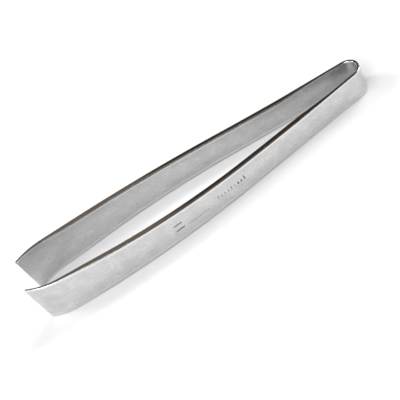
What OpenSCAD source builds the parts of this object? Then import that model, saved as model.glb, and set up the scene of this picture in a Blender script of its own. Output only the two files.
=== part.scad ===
// Spring tongs for stamps and other flat pieces, bent from one strip of stainless steel.
//
// The tongs stand on the lower long edge of the strip. X runs from the bow to the tips, Y runs
// across the two arms, and Z runs up the width of the strip. The origin is on the resting plane,
// under the middle of the length and of the width. The left side is at +Y, the right side at -Y.
//
// The steel is one piece that flexes. Here it is cut into stretches, and where it bends most each
// stretch ends in a round knuckle that turns in the socket of the next one.

/* [Bow] */
// Outside radius of the bow, the U bend that joins the two sides
bow_r = 4.2; // [3.6:0.1:6]
// Thickness of the steel around the bow
bow_t = 1.0; // [0.7:0.05:1.3]

/* [Sides] */
// Angle between each side and the centre line where it leaves the bow
splay = 6.8; // [4:0.2:9]
// Straight length of a side from the bow, along its outer face
straight_l = 44.5; // [36:0.5:52]
// Length of the bowed stretch that follows, along its outer face
belly_l = 65; // [50:1:72]
// Radius of the bowed stretch's outer face
belly_r = 300; // [240:10:400]
// Thickness of the arms
arm_t = 2.0; // [1.6:0.1:2.4]
// Distance from the bow where the inner face starts to thicken
grind_start = 6.2; // [5:0.2:9]
// Distance from the bow where the arm has its full thickness
grind_end = 25; // [20:0.5:32]

/* [Jaws] */
// Length of the inward curl at each tip, along its outer face
curl_l = 10.5; // [8:0.5:13]
// Radius of the curl's outer face
curl_r = 22; // [18:1:30]
// Thickness at the tip
tip_t = 0.8; // [0.5:0.1:1.2]
// Length over which the arm thins towards the tip
taper_l = 23.5; // [14:0.5:30]

/* [Width] */
// Width of the strip at its narrowest
waist_w = 9.5; // [8:0.1:12]
// Distance of the narrowest place from the bow's centre
waist_x = 16; // [8:1:30]
// Radius of the arc that flares the upper edge towards the tips
flare_r = 870; // [700:10:1200]

/* [Flex points] */
// Distance of the first flex point from the bow, along the outer face
root_flex = 1.5; // [1.2:0.1:2.5]
// Distance of the second flex point from the bow, along the outer face
leaf_flex = 12; // [9:0.5:16]
// Gap between each knuckle and its socket
knuckle_gap = 0.04; // [0.03:0.01:0.08]

/* [Hidden] */

steel = [0.76, 0.77, 0.78];
steel_ground = [0.68, 0.69, 0.70];

// A radian in degrees
rad = 180 / PI;
// Distances along the outer face, from the end of the bow. The bow's own are below zero.
bow_start = -bow_r * (90 - splay) / rad;
belly_end = straight_l + belly_l;
tip_end = belly_end + curl_l;
taper_start = tip_end - taper_l;
// Length of one flat around the bow, on the ground inner face, on the belly and on the curl
bow_step = 0.35;
grind_step = 1.6;
belly_step = 3.5;
curl_step = 0.7;
// Facets of the knuckles and of the flare's long arc
round_fn = 96;
flare_fn = 720;
// How much smaller than the strip's half thickness a knuckle is
shoulder = knuckle_gap / 2;
// Height and reach that clear the whole strip
clear = 200;

function clamp(v, low, high) = min(max(v, low), high);
function ease(q) = let (c = clamp(q, 0, 1)) c * c * (3 - 2 * c);

// Way along an arc of radius r that turns clockwise from heading a, after length q
function arc_way(q, a, r) = r * [sin(a) - sin(a - q / r * rad), cos(a - q / r * rad) - cos(a)];

// Heading of the left side's outer face at distance u from the bow
function heading(u) =
    splay
    - min(u, 0) / bow_r * rad
    - clamp(u - straight_l, 0, belly_l) / belly_r * rad
    - max(u - belly_end, 0) / curl_r * rad;

// Unit vector out of the left side's outer face
function outward(u) = [-sin(heading(u)), cos(heading(u))];

// Point on the left side's outer face, from the bow's centre
function outer_point(u) =
    bow_r * outward(min(u, 0))
    + clamp(u, 0, straight_l) * [cos(splay), sin(splay)]
    + arc_way(clamp(u - straight_l, 0, belly_l), splay, belly_r)
    + arc_way(max(u - belly_end, 0), heading(belly_end), curl_r);

// Thickness of the strip: thin at the bow, full in the arm, thin at the tip
function thickness(u) =
    bow_t
    + (arm_t - bow_t) * ease((u - grind_start) / (grind_end - grind_start))
    - (arm_t - tip_t) * ease((u - taper_start) / taper_l);

function inner_point(u) = outer_point(u) - thickness(u) * outward(u);
function middle_point(u) = outer_point(u) - thickness(u) / 2 * outward(u);

// Evenly spaced distances, from one place up to but not including another
function stations(from, to, step) =
    let (count = ceil((to - from) / step))
    [for (i = [0:count - 1]) from + (to - from) * i / count];

// Where the outer and inner faces need a point, from the bow to the tip
bow_at = stations(bow_start, 0, bow_step);
far_at = concat(stations(straight_l, belly_end, belly_step), stations(belly_end, tip_end, curl_step));
outer_at = concat(bow_at, [0], far_at);
inner_at = concat(bow_at, [0], stations(grind_start, grind_end, grind_step), [grind_end], far_at);

// The part of a list of distances that lies between two places, with the places themselves
function between(list, from, to) = concat([from], [for (u = list) if (u > from && u < to) u], [to]);

function reversed(list) = [for (i = [len(list) - 1:-1:0]) list[i]];
function mirrored(points) = [for (p = points) [p[0], -p[1]]];
function tail(list) = [for (i = [1:len(list) - 1]) list[i]];

// Places the bow's centre so that the origin is under the middle of the length
bow_x = (bow_r - outer_point(tip_end)[0]) / 2;

// Plan of the left side between two distances from the bow
module stretch_plan(from, to) {
    outer = [for (u = between(outer_at, from, to)) outer_point(u)];
    inner = [for (u = between(inner_at, from, to)) inner_point(u)];
    polygon(concat(outer, reversed(inner)));
}

// Rounds the end of a stretch: takes away what lies behind the flex point, but for a knuckle
module round_off(u) {
    r = thickness(u) / 2 - shoulder;
    translate(middle_point(u)) rotate(heading(u)) difference() {
        translate([-4 * r, -2 * r]) square(4 * r);
        circle(r = r, $fn = round_fn);
    }
}

// Round hollow in the end of the stretch before it
module socket_plan(u) {
    translate(middle_point(u)) circle(r = thickness(u) / 2 - shoulder + knuckle_gap, $fn = round_fn);
}

// Plan of the bow, with the first bit of both sides
module bow_plan() {
    outer = [for (u = between(outer_at, bow_start, root_flex)) outer_point(u)];
    inner = [for (u = between(inner_at, bow_start, root_flex)) inner_point(u)];
    difference() {
        polygon(concat(reversed(outer), mirrored(tail(outer)), mirrored(reversed(inner)), tail(inner)));
        socket_plan(root_flex);
        mirror([0, 1]) socket_plan(root_flex);
    }
}

module leaf_plan() {
    difference() {
        stretch_plan(root_flex - bow_t / 2, leaf_flex);
        round_off(root_flex);
        socket_plan(leaf_flex);
    }
}

module arm_plan() {
    difference() {
        stretch_plan(leaf_flex - bow_t, belly_end);
        round_off(leaf_flex);
    }
}

module jaw_plan() {
    stretch_plan(belly_end, tip_end);
}

// Side view of the strip: flat lower edge, and an upper edge that rises from the waist
module width_profile() {
    difference() {
        translate([-clear / 2, 0]) square([2 * clear, clear / 4]);
        translate([waist_x, waist_w + flare_r]) circle(r = flare_r, $fn = flare_fn);
    }
}

// Raises a plan to the width of the strip, in the tongs' place
module strip() {
    translate([bow_x, 0, 0]) intersection() {
        linear_extrude(height = clear / 4) children();
        rotate([90, 0, 0]) linear_extrude(height = clear, center = true) width_profile();
    }
}

module right_hand() {
    mirror([0, 1, 0]) children();
}

module spring_bow() {
    color(steel) strip() bow_plan();
}

module left_leaf() {
    color(steel_ground) strip() leaf_plan();
}

module left_arm() {
    color(steel) strip() arm_plan();
}

module left_jaw() {
    color(steel_ground) strip() jaw_plan();
}

module right_leaf() {
    color(steel_ground) right_hand() strip() leaf_plan();
}

module right_arm() {
    color(steel) right_hand() strip() arm_plan();
}

module right_jaw() {
    color(steel_ground) right_hand() strip() jaw_plan();
}

spring_bow();
left_leaf();
left_arm();
left_jaw();
right_leaf();
right_arm();
right_jaw();
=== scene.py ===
import math

import bmesh
import bpy
from mathutils import Matrix, Vector


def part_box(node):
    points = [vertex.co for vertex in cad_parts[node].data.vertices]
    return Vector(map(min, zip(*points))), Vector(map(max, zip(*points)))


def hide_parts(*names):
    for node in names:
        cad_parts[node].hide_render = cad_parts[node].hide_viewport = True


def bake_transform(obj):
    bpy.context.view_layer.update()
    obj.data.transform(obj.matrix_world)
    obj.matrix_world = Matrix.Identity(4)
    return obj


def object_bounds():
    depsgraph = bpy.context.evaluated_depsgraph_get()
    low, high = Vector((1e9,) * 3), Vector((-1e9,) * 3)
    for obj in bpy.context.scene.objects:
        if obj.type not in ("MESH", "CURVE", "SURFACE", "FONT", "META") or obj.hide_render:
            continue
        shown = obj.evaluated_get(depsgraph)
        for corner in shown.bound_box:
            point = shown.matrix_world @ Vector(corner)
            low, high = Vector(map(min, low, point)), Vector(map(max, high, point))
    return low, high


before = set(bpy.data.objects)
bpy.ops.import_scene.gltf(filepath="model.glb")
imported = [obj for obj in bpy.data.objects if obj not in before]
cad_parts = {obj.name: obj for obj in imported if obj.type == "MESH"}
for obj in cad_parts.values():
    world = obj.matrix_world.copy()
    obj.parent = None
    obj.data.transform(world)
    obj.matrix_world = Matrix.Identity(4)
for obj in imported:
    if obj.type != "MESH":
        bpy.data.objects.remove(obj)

cad_low, cad_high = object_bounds()

MM = 0.001

# ---------------------------------------------------------------- the strip, in metres
# The same driving dimensions as the CAD model, so that the steel lies where its solids are.
# The bow: the radius of its outer face, its thickness, and the angle at which each side leaves it
BOW_R = 4.2 * MM
BOW_T = 1.0 * MM
SPLAY = math.radians(6.8)
# Each side's outer face: straight, then a wide belly, then the curl of the jaw
STRAIGHT_L = 44.5 * MM
BELLY_L = 65.0 * MM
BELLY_R = 300.0 * MM
CURL_L = 10.5 * MM
CURL_R = 22.0 * MM
# Thickness of the arm, where it grows from the bow's, and how it tapers to the jaw's end
ARM_T = 2.0 * MM
GRIND_START = 6.2 * MM
GRIND_END = 25.0 * MM
TIP_T = 0.8 * MM
TAPER_L = 23.5 * MM
# Least width, its place from the bow's centre, and the radius of the upper edge that rises from there
WAIST_W = 9.5 * MM
WAIST_X = 16.0 * MM
FLARE_R = 870.0 * MM

# Distances along the outer face, from the end of the bow; the bow's own are below zero
BOW_START = -BOW_R * (math.pi / 2 - SPLAY)
BELLY_END = STRAIGHT_L + BELLY_L
TIP_END = BELLY_END + CURL_L
TAPER_START = TIP_END - TAPER_L
# The strip is drawn in two pieces a side, which meet half way along the thin leaf
SPLIT = 6.8 * MM

# Radius of the strip's upper and lower edges, as shares of its thickness
UPPER_SHARE = 0.28
LOWER_SHARE = 0.45
# Radius of the edges at the jaw's end, and the number of sections that draw it
TIP_R = 0.12 * MM
TIP_STEPS = 4
# How far the shine of the worn edges reaches onto the faces
WEAR_REACH = 0.55 * MM
# The long edges' smoother finish and painted warm tint start this share of the thickness from each
# face, and fade in over as much
RIM_FADE = 0.1
# The painted contact shade on the underside starts at this share of the lower edge's radius, and is
# full this share below it
PAINTED_SHADE_START = 0.75
PAINTED_SHADE_FADE = 0.45
# A point less deep than this lies on the outer face
ON_FACE = 0.001 * MM
# Steps of the section: up the outer face, down the inner face, across an edge, round a corner
OUTER_STEPS = 72
INNER_STEPS = 28
RIM_STEPS = 3
CORNER_STEPS = 7
# What the mesh tells the steel about each point
MARKS = ("etch", "rim", "wear", "inside", "under")

# ---------------------------------------------------------------- the etched mark
# Plain strokes with no letters, on the outside of the left arm. Their places are distances along the
# outer face and heights above the lower edge.
MARK_FROM, MARK_TO = 43.0 * MM, 74.0 * MM
ETCH_DEPTH = 0.035 * MM
ETCH_SOFT = 0.07 * MM
# A row of upright ticks: every fourth is long, and the first few are etched deeper
TICKS = 9
TICK_START = 46.0 * MM
TICK_SPACING = 1.25 * MM
TICK_HALF_W = 0.2 * MM
TICK_FOOT = 4.9 * MM
LONG_TICK, SHORT_TICK = 1.5 * MM, 0.95 * MM
TICKS_PER_LONG = 4
DEEP_TICKS = 3
# Two bars one above the other, and a thin line beside them
BAR_FROM, BAR_TO = 69.3 * MM, 72.3 * MM
BAR_FEET = (4.3 * MM, 6.5 * MM)
BAR_H = 0.5 * MM
LINE_FROM, LINE_TO = 60.0 * MM, 68.0 * MM
LINE_FOOT = 4.1 * MM
LINE_H = 0.35 * MM
# How deep each kind of stroke is, as a share of the etch's depth
DEEP, SHALLOW = 1.0, 0.55
BAR_DEPTHS = (1.0, 0.8)
LINE_DEPTH = 0.45


def ease(q):
    """A smooth step: 0 below 0, 1 above 1."""
    q = min(max(q, 0.0), 1.0)
    return q * q * (3 - 2 * q)


def heading(u):
    """Direction of the left side's outer face at distance u."""
    turn = SPLAY - min(u, 0.0) / BOW_R
    turn -= min(max(u - STRAIGHT_L, 0.0), BELLY_L) / BELLY_R
    return turn - max(u - BELLY_END, 0.0) / CURL_R


def outward(a):
    """Direction out of a face whose heading is a."""
    return Vector((-math.sin(a), math.cos(a)))


def arc_way(q, a, r):
    """Way along an arc of radius r that turns clockwise from heading a, after length q."""
    return Vector((math.sin(a) - math.sin(a - q / r), math.cos(a - q / r) - math.cos(a))) * r


def outer_point(u):
    """Point on the left side's outer face, from the bow's centre."""
    p = outward(heading(min(u, 0.0))) * BOW_R
    p += Vector((math.cos(SPLAY), math.sin(SPLAY))) * min(max(u, 0.0), STRAIGHT_L)
    p += arc_way(min(max(u - STRAIGHT_L, 0.0), BELLY_L), SPLAY, BELLY_R)
    return p + arc_way(max(u - BELLY_END, 0.0), heading(BELLY_END), CURL_R)


def thickness(u):
    """Thickness of the strip at distance u."""
    grown = (ARM_T - BOW_T) * ease((u - GRIND_START) / (GRIND_END - GRIND_START))
    return BOW_T + grown - (ARM_T - TIP_T) * ease((u - TAPER_START) / TAPER_L)


def width(x):
    """Width of the strip at x from the bow's centre: its upper edge is a long arc."""
    return WAIST_W + FLARE_R - math.sqrt(FLARE_R**2 - (x - WAIST_X) ** 2)


# The bow's centre, from the CAD bow, and the plane that the strip stands on
BOW_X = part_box("spring_bow")[0][0] + BOW_R
FLOOR_Z = cad_low[2]


def section(t):
    """Points round the strip's section, as (depth from the outer face, share of the width, lift).

    A point's height is share * width + lift. The points start at the foot of the outer face, go up it,
    over the upper edge, down the inner face and back under the lower edge.
    """
    up, low = UPPER_SHARE * t, LOWER_SHARE * t
    points = []

    def flat(begin, end, shares):
        """Points along a straight stretch."""
        for q in shares:
            points.append(tuple(first + (last - first) * q for first, last in zip(begin, end)))

    def corner(r, depth, share, lift, begin):
        """Points of a quarter round of radius r that turns clockwise from the angle begin."""
        for k in range(CORNER_STEPS):
            a = math.radians(begin - 90 * k / CORNER_STEPS)
            points.append((depth + r * math.cos(a), share, lift + r * math.sin(a)))

    even = [k / OUTER_STEPS for k in range(OUTER_STEPS)]
    # closer together towards the edges
    eased = [(1 - math.cos(math.pi * k / INNER_STEPS)) / 2 for k in range(INNER_STEPS)]
    across = [k / RIM_STEPS for k in range(RIM_STEPS)]
    flat((0, 0, low), (0, 1, -up), even)
    corner(up, up, 1, -up, 180)
    flat((up, 1, 0), (t - up, 1, 0), across)
    corner(up, t - up, 1, -up, 90)
    flat((t, 1, -up), (t, 0, low), eased)
    corner(low, t - low, 0, low, 0)
    flat((t - low, 0, 0), (low, 0, 0), across)
    corner(low, low, 0, low, -90)
    return points


def spaced(a, b, step):
    """Evenly spaced distances from a, at most one step apart, without b itself."""
    # keeps a whole number of steps from being rounded up
    rounding = 1e-9
    n = max(1, math.ceil((b - a) / step - rounding))
    return [a + (b - a) * k / n for k in range(n)]


def stations(a, b):
    """Distances at which the section is drawn, close together where the strip curves or is marked."""
    curl_from = BELLY_END - 4 * MM
    stretches = (
        (BOW_START, 0.0, 0.22 * MM),
        (0.0, GRIND_END, 0.7 * MM),
        (GRIND_END, MARK_FROM, 1.2 * MM),
        (MARK_FROM, MARK_TO, 0.13 * MM),
        (MARK_TO, curl_from, 1.2 * MM),
        (curl_from, TIP_END - TIP_R, 0.35 * MM),
    )
    out = []
    for low, high, step in stretches:
        low, high = max(low, a), min(high, b)
        if high > low:
            out += spaced(low, high, step)
    return out + [min(b, TIP_END - TIP_R)]


def box_mask(u, z, u0, u1, z0, z1):
    """1 inside a rounded box, 0 outside, with a soft edge."""
    half_u, half_z = (u1 - u0) / 2, (z1 - z0) / 2
    du = max(abs(u - (u0 + u1) / 2) - half_u + ETCH_SOFT / 2, 0.0)
    dz = max(abs(z - (z0 + z1) / 2) - half_z + ETCH_SOFT / 2, 0.0)
    return 1 - ease(math.hypot(du, dz) / ETCH_SOFT)


def strokes():
    """The mark's strokes as boxes on the outer face: (from, to, bottom, top, depth)."""
    out = []
    for k in range(TICKS):
        at = TICK_START + TICK_SPACING * k
        top = TICK_FOOT + (SHORT_TICK if k % TICKS_PER_LONG else LONG_TICK)
        depth = DEEP if k < DEEP_TICKS else SHALLOW
        out.append((at - TICK_HALF_W, at + TICK_HALF_W, TICK_FOOT, top, depth))
    for foot, depth in zip(BAR_FEET, BAR_DEPTHS):
        out.append((BAR_FROM, BAR_TO, foot, foot + BAR_H, depth))
    out.append((LINE_FROM, LINE_TO, LINE_FOOT, LINE_FOOT + LINE_H, LINE_DEPTH))
    return out


STROKES = strokes()


def etched(u, z):
    """How deep the mark is at distance u and height z on the left arm: 0 to 1."""
    if not MARK_FROM < u < MARK_TO:
        return 0.0
    return max(box_mask(u, z, *box) * depth for *box, depth in STROKES)


def worn(depth, z, t, top):
    """How worn a point of the section is: 1 on the long edges, fading out along the faces."""
    if UPPER_SHARE / 2 < depth / t < 1 - UPPER_SHARE / 2:
        return 1.0
    return 1 - ease(min(z - LOWER_SHARE * t, top - z - UPPER_SHARE * t) / WEAR_REACH)


def under(z, t):
    """How far a point lies round the lower edges, where shade under the strip is painted: 0 on the
    faces, 1 on the underside.
    """
    r = LOWER_SHARE * t
    return ease((PAINTED_SHADE_START * r - z) / (PAINTED_SHADE_FADE * r))


def rings_of(a, b, side):
    """Sections of the strip from distance a to b: (distance, points).

    A point is its place, then a value for each of MARKS. side is 1 on the left, -1 on the right.
    """
    rings = []
    for u in stations(a, b):
        base, out, t = outer_point(u), outward(heading(u)), thickness(u)
        ring = []
        for depth, share, lift in section(t):
            p = base - out * depth
            top = width(p.x)
            z = share * top + lift
            etch = etched(u, z) if side > 0 and depth < ON_FACE else 0.0
            rim = ease((min(depth, t - depth) - RIM_FADE * t) / (RIM_FADE * t))
            p -= out * (etch * ETCH_DEPTH)
            # inside sets how much painted shade a point gets: 0 on the outer face, 1 on the inner face
            wear, inside = worn(depth, z, t, top), depth / t
            ring.append(((p.x, p.y, z), etch, rim, wear, inside, under(z, t)))
        rings.append((u, ring))
    if b >= TIP_END:
        rings += tip_rings()
    return rings


def tip_rings():
    """A few ever smaller sections that round the edges at the jaw's end."""
    u_last = TIP_END - TIP_R
    out, t = outward(heading(u_last)), thickness(TIP_END)
    along = Vector((out.y, -out.x))
    rings = []
    for k in range(1, TIP_STEPS + 1):
        a = math.pi / 2 * k / TIP_STEPS
        inset, forward = TIP_R * (1 - math.cos(a)), TIP_R * math.sin(a)
        ring = []
        for depth, share, lift in section(t):
            p = outer_point(u_last) - out * min(max(depth, inset), t - inset) + along * forward
            top = width(p.x)
            z = min(max(share * top + lift, inset), top - inset)
            ring.append(((p.x, p.y, z), 0.0, 0.0, 1.0, depth / t, under(z, t)))
        rings.append((u_last + forward, ring))
    return rings


def around(ring):
    """Distance round a section of each of its points, back to the first."""
    places = [Vector(point[0]) for point in ring]
    total, out = 0.0, [0.0]
    for here, after in zip(places, places[1:] + places[:1]):
        total += (after - here).length
        out.append(total)
    return out


def strip_piece(name, side, a, b):
    """A closed length of the strip from distance a to b. side is 1 on the left, -1 on the right."""
    bm = bmesh.new()
    uv_layer = bm.loops.layers.uv.new("along")
    layers = [bm.verts.layers.float.new(word) for word in MARKS]
    rings = []
    for u, ring in rings_of(a, b, side):
        row = []
        for (x, y, z), *values in ring:
            vert = bm.verts.new((BOW_X + x, side * y, FLOOR_Z + z))
            for layer, value in zip(layers, values):
                vert[layer] = value
            row.append(vert)
        rings.append((u / MM, row, [d / MM for d in around(ring)]))

    for (u0, row0, up0), (u1, row1, up1) in zip(rings, rings[1:]):
        for k in range(len(row0)):
            j = (k + 1) % len(row0)
            face = bm.faces.new((row0[k], row1[k], row1[j], row0[j]))
            face.smooth = True
            corners = ((u0, up0[k]), (u1, up1[k]), (u1, up1[k + 1]), (u0, up0[k + 1]))
            for loop, place in zip(face.loops, corners):
                loop[uv_layer].uv = place
    for _, row, _ in (rings[0], rings[-1]):
        for edge in bm.faces.new(row).edges:
            edge.smooth = False
    bmesh.ops.recalc_face_normals(bm, faces=bm.faces)
    mesh = bpy.data.meshes.new(name)
    bm.to_mesh(mesh)
    bm.free()
    piece = bpy.data.objects.new(name, mesh)
    bpy.context.scene.collection.objects.link(piece)
    return piece


# ---------------------------------------------------------------- materials
# Where a Mix node keeps its sockets for colours
MIX_SHARE, MIX_A, MIX_B, MIX_RESULT = 0, 6, 7, 2
# The steel's own tone and roughness
SATIN_TONE = 0.62
SATIN_ROUGHNESS = 0.26


class Nodes:
    """Short ways to add and join the shader nodes of one material."""

    def __init__(self, mat):
        mat.use_nodes = True
        self.tree = mat.node_tree
        self.shader = self.tree.nodes["Principled BSDF"]

    def new(self, kind, **settings):
        node = self.tree.nodes.new(kind)
        for key, value in settings.items():
            setattr(node, key, value)
        return node

    def feed(self, value, socket):
        """Links a node's output to a socket, or sets the socket to a plain number or colour."""
        if isinstance(value, bpy.types.NodeSocket):
            self.tree.links.new(value, socket)
        else:
            socket.default_value = value

    def noise(self, across, turn=0.0, detail=3.0):
        """Noise over the strip's surface. across is the grains in 1 mm along the strip and round it."""
        place = self.new("ShaderNodeMapping")
        place.inputs["Rotation"].default_value = (0.0, 0.0, math.radians(turn))
        place.inputs["Scale"].default_value = across + (1.0,)
        surface = self.new("ShaderNodeUVMap", uv_map="along")
        self.feed(surface.outputs["UV"], place.inputs["Vector"])
        node = self.new("ShaderNodeTexNoise")
        node.inputs["Scale"].default_value = 1.0
        node.inputs["Detail"].default_value = detail
        self.feed(place.outputs["Vector"], node.inputs["Vector"])
        return node.outputs["Fac"]

    def ramp(self, value, low, high):
        """0 where value is low or less, 1 where it is high or more."""
        node = self.new("ShaderNodeMapRange")
        node.inputs["From Min"].default_value = low
        node.inputs["From Max"].default_value = high
        self.feed(value, node.inputs["Value"])
        return node.outputs["Result"]

    def maths(self, kind, a, b):
        node = self.new("ShaderNodeMath", operation=kind)
        self.feed(a, node.inputs[0])
        self.feed(b, node.inputs[1])
        return node.outputs[0]

    def total(self, *terms):
        """Sum of (weight, value) pairs."""
        out = 0.0
        for weight, value in terms:
            out = self.maths("ADD", out, self.maths("MULTIPLY", value, weight))
        return out

    def mix(self, share, a, b):
        """Colour a where share is 0, colour b where it is 1."""
        node = self.new("ShaderNodeMix", data_type="RGBA")
        self.feed(share, node.inputs[MIX_SHARE])
        self.feed(a, node.inputs[MIX_A])
        self.feed(b, node.inputs[MIX_B])
        return node.outputs[MIX_RESULT]

    def cover(self, colour, share, strength, other):
        """Lays another colour over colour where share is 1, as strongly as strength says."""
        return self.mix(self.maths("MULTIPLY", share, strength), colour, other)

    def attribute(self, which):
        return self.new("ShaderNodeAttribute", attribute_name=which).outputs["Fac"]


def grey(value, warmth=0.0):
    """A grey that leans to brown as warmth grows."""
    return (value, value * (1 - 0.5 * warmth), value * (1 - warmth), 1.0)


def steel(name, tone, roughness):
    """Tumbled stainless steel: cloudy satin faces with faint brushing, brighter worn edges, painted
    shade inside and under the strip, and a painted warm reflection on its flat edges.
    """
    mat = bpy.data.materials.new(name)
    n = Nodes(mat)
    n.shader.inputs["Metallic"].default_value = 1.0

    cloud = n.noise((0.24, 0.32), detail=5.0)
    mottle = n.noise((1.5, 1.9), detail=4.0)
    grain = n.noise((0.10, 6.0), detail=4.0)
    fine = n.noise((5.0, 7.0))
    scratch = n.ramp(n.noise((0.30, 5.0), turn=28.0), 0.66, 0.74)
    etch, rim, wear, inside, underside = (n.attribute(word) for word in MARKS)

    # blotches a little darker and lighter than the tone, and faint bright scratches
    lightness = n.ramp(n.total((0.40, cloud), (0.50, mottle), (0.10, grain)), 0.39, 0.61)
    colour = n.mix(lightness, grey(tone * 0.88), grey(tone * 1.12))
    colour = n.cover(colour, scratch, 0.25, grey(tone * 1.4))
    # darker towards the inside of the strip, as painted shade for the space between the arms, and
    # lighter at the worn edges
    colour = n.cover(colour, inside, 0.15, grey(0.0))
    colour = n.cover(colour, wear, 0.8, grey(min(tone * 1.35, 1.0)))
    # the flat edges are duller and warmer, the underside is darkened with painted contact shade, and
    # the etched strokes nearly black
    # the warm tint on the flat edges is a painted brown reflection of the dim room they mirror
    colour = n.cover(colour, rim, 0.8, grey(tone * 0.90, 0.15))
    colour = n.cover(colour, underside, 0.75, grey(tone * 0.2, 0.1))
    colour = n.mix(etch, colour, grey(0.12, 0.08))
    n.feed(colour, n.shader.inputs["Base Color"])

    # each noise averages a half, so the three together add 0.12
    blotches = ((0.08, cloud), (0.08, mottle), (0.08, grain))
    uneven = n.total(*blotches, (0.25, etch), (-0.10, rim), (-0.05, wear))
    n.feed(n.maths("ADD", uneven, roughness - 0.12), n.shader.inputs["Roughness"])

    height = n.total((0.5, grain), (0.4, fine), (0.2, mottle))
    bump = n.new("ShaderNodeBump")
    bump.inputs["Strength"].default_value = 0.08
    bump.inputs["Distance"].default_value = 0.01 * MM
    n.feed(height, bump.inputs["Height"])
    n.feed(bump.outputs["Normal"], n.shader.inputs["Normal"])
    return mat


def plain(name, colour, roughness):
    """A matt finish in one colour, for the floor."""
    mat = bpy.data.materials.new(name)
    mat.use_nodes = True
    shader = mat.node_tree.nodes["Principled BSDF"]
    shader.inputs["Base Color"].default_value = colour + (1.0,)
    shader.inputs["Roughness"].default_value = roughness
    shader.inputs["Specular IOR Level"].default_value = 0.0
    return mat


# ---------------------------------------------------------------- stage, light, camera
FLOOR_RADIUS = 0.85
# The pale backdrop reaches up to the first elevation, in degrees, and has faded out at the second
BACKDROP_TOP = 8
ROOM_START = 20
BACKDROP_COLOUR = (0.95, 0.95, 0.96, 1.0)
ROOM_COLOUR = (0.050, 0.034, 0.024, 1.0)
# The softboxes are nearly white and a little cool; the glow is as warm as the room
SOFTBOX_COLOUR = (0.975, 0.985, 1.0)
GLOW_COLOUR = (1.0, 0.84, 0.70)


def make_floor():
    """A plain round floor that the tongs stand on."""
    bpy.ops.mesh.primitive_circle_add(
        vertices=128, radius=FLOOR_RADIUS, fill_type="NGON", location=(0, 0, FLOOR_Z)
    )
    floor = bpy.context.object
    floor.name = "floor"
    floor.data.materials.append(plain("floor_white", (0.96, 0.96, 0.965), 0.9))


def softbox(name, azimuth, elevation, size, power, colour=SOFTBOX_COLOUR):
    """A square soft light 1 m from the tongs and facing them. Azimuth 0 is +X, 90 is +Y.

    The angles are in degrees, the size in metres and the power in watts.
    """
    data = bpy.data.lights.new(name, "AREA")
    data.shape = "SQUARE"
    data.size = size
    data.energy = power
    data.color = colour
    turn, rise = math.radians(azimuth), math.radians(elevation)
    level = math.cos(rise)
    place = Vector((level * math.cos(turn), level * math.sin(turn), math.sin(rise)))
    lamp = bpy.data.objects.new(name, data)
    lamp.location = place
    lamp.rotation_mode = "QUATERNION"
    lamp.rotation_quaternion = (-place).to_track_quat("-Z", "Y")
    bpy.context.scene.collection.objects.link(lamp)


def make_sky():
    """A pale backdrop up to a low height, and a dim warm room above it.

    The strip's long edges mirror the room behind and above the tongs, so they look dark.
    """
    world = bpy.data.worlds.new("studio")
    world.use_nodes = True
    nodes, links = world.node_tree.nodes, world.node_tree.links
    direction = nodes.new("ShaderNodeTexCoord")
    height = nodes.new("ShaderNodeSeparateXYZ")
    links.new(direction.outputs["Generated"], height.inputs[0])
    above = nodes.new("ShaderNodeMapRange")
    above.inputs["From Min"].default_value = math.sin(math.radians(BACKDROP_TOP))
    above.inputs["From Max"].default_value = math.sin(math.radians(ROOM_START))
    links.new(height.outputs["Z"], above.inputs["Value"])
    sky = nodes.new("ShaderNodeMix")
    sky.data_type = "RGBA"
    links.new(above.outputs["Result"], sky.inputs[MIX_SHARE])
    sky.inputs[MIX_A].default_value = BACKDROP_COLOUR
    sky.inputs[MIX_B].default_value = ROOM_COLOUR
    links.new(sky.outputs[MIX_RESULT], nodes["Background"].inputs["Color"])
    bpy.context.scene.world = world


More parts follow.
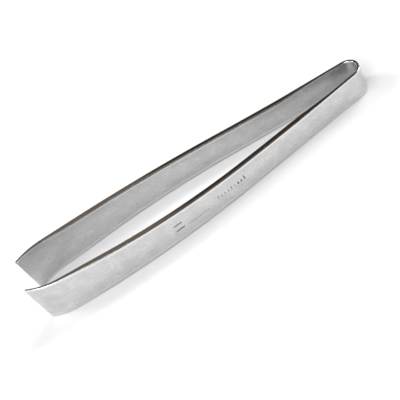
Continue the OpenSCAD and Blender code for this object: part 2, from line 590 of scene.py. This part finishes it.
def make_lights():
    """Soft light from all round, strongest from beyond the jaws and from the left."""
    softbox("key_softbox", 20, 55, 0.8, 2.15)
    softbox("front_softbox", 54, 45, 0.45, 3.65)
    softbox("bow_softbox", 150, 45, 0.45, 1.05)
    softbox("bow_end_softbox", 207, 48, 0.26, 2.8)
    softbox("rear_bow_softbox", 228, 36, 0.22, 0.6)
    softbox("rear_softbox", 300, 22, 0.45, 0.5)
    softbox("rear_tip_softbox", 330, 46, 0.22, 2.4)
    softbox("high_softbox", 355, 68, 0.3, 1.3)
    softbox("overhead_softbox", 0, 90, 0.5, 0.2)
    softbox("glow", 283, 44, 0.4, 0.09, GLOW_COLOUR)


def make_camera():
    """The photograph's view: from above the left side, with the camera rolled."""
    target = Vector((3.0, 0.0, -1.2)) * MM
    azimuth, elevation, roll = map(math.radians, (0.3, 44.7, -34.3))
    distance = 235.5 * MM
    level = math.cos(elevation)
    back = Vector((level * math.sin(azimuth), level * math.cos(azimuth), math.sin(elevation)))
    right = (-back).cross(Vector((0, 0, 1))).normalized()
    up = right.cross(-back)
    turned_right = right * math.cos(roll) + up * math.sin(roll)
    turned_up = up * math.cos(roll) - right * math.sin(roll)
    data = bpy.data.cameras.new("camera")
    data.sensor_width = 36.0
    data.lens = 66.5
    data.clip_start = 0.01
    data.clip_end = 20.0
    camera = bpy.data.objects.new("camera", data)
    axes = Matrix((turned_right, turned_up, back)).transposed()
    camera.matrix_world = Matrix.Translation(target + back * distance) @ axes.to_4x4()
    bpy.context.scene.collection.objects.link(camera)
    bpy.context.scene.camera = camera
    bpy.context.scene.view_settings.view_transform = "Standard"


def flex(piece):
    """Bakes a piece's placement into its mesh."""
    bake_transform(piece)


def make_side(hand, side, mat):
    """Both pieces of one side of the strip.

    They meet half way along the thin leaf.
    """
    split_x = BOW_X + outer_point(SPLIT).x

    rear = strip_piece(hand + "_bow_and_leaf", side, BOW_START, SPLIT)
    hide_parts("spring_bow", hand + "_leaf")
    flex(rear)

    front = strip_piece(hand + "_arm_and_jaw", side, SPLIT, TIP_END)
    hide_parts(hand + "_arm", hand + "_jaw")
    flex(front)

    for piece in (rear, front):
        piece.data.materials.append(mat)


make_camera()
make_floor()
make_sky()
make_lights()
satin = steel("satin_steel", SATIN_TONE, SATIN_ROUGHNESS)
make_side("left", 1, satin)
make_side("right", -1, satin)
